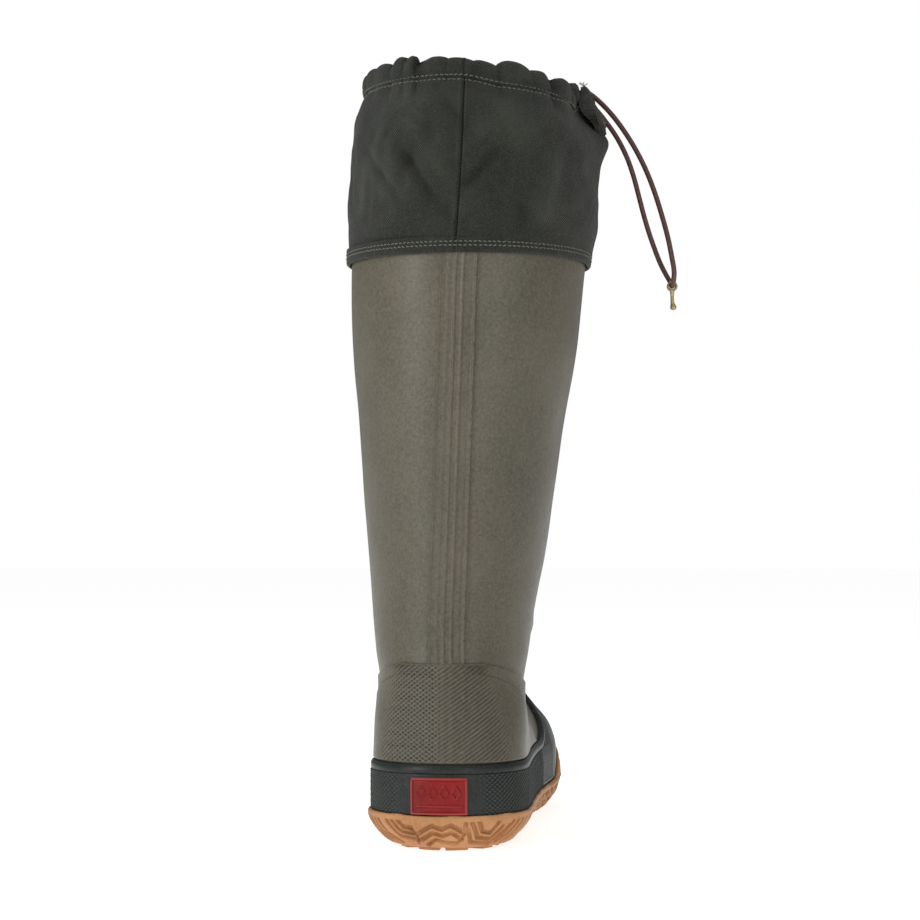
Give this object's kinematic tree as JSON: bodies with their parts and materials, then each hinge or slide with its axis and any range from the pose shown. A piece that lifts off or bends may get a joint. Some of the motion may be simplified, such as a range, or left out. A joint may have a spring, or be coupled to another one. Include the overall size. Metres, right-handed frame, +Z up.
{
  "type": "insulated hunting boot",
  "caption": "Tall insulated rubber boot for the right foot, with a lugged gum outsole and a canvas collar closed by a drawcord.",
  "frame": {"origin": "on the ground under the middle of the heel", "axes": "+Y towards the toe, +X towards the outer side of the right leg, +Z up"},
  "size_m": [0.1823, 0.3138, 0.4196],
  "materials": {
    "gum_rubber": "satin",
    "foam_midsole": "matte",
    "steel": "brushed",
    "fibre_board": "matte",
    "footbed_fabric": "matte",
    "olive_rubber": "satin",
    "black_rubber": "matte",
    "neoprene": "matte",
    "fleece": "matte",
    "green_rubber": "satin",
    "red_rubber": "satin",
    "canvas": "matte",
    "waxed_cord": "satin",
    "brass": "satin"
  },
  "bodies": {
    "boot": {"outsole": "gum_rubber", "midsole": "foam_midsole", "shank": "steel", "insole_board": "fibre_board", "footbed": "footbed_fabric", "rubber_upper": "olive_rubber", "heel_counter": "black_rubber", "toe_puff": "black_rubber", "insulation": "neoprene", "lining": "fleece", "ankle_overlay": "olive_rubber", "back_stay": "olive_rubber", "foxing": "green_rubber", "side_panel_outer": "green_rubber", "side_panel_inner": "green_rubber", "toe_cap": "green_rubber", "trim_strip": "green_rubber", "heel_label": "red_rubber", "collar_wall": "canvas", "collar_hem": "canvas"},
    "rim": {"drawcord_channel": "canvas", "rim_tab": "canvas", "drawcord_run": "waxed_cord"},
    "cord_loop": {"drawcord_loop": "waxed_cord"},
    "hook": {"cord_hook": "brass"}
  },
  "joints": [
    {"name": "collar_push_down", "type": "slide", "parent": "boot", "child": "rim", "axis": [0, 0, -1], "range_m": [0, 0.06], "deforming": ["collar_wall"]},
    {"name": "cord_swing", "type": "hinge", "parent": "rim", "child": "cord_loop", "pos_m": [0.068, 0.032, 0.4135], "axis": [0, -1, 0], "range_deg": [-8, 60]},
    {"name": "hook_swing", "type": "hinge", "parent": "cord_loop", "child": "hook", "pos_m": [0.1195, 0.032, 0.3058], "axis": [0, 1, 0], "range_deg": [-80, 80]}
  ]
}
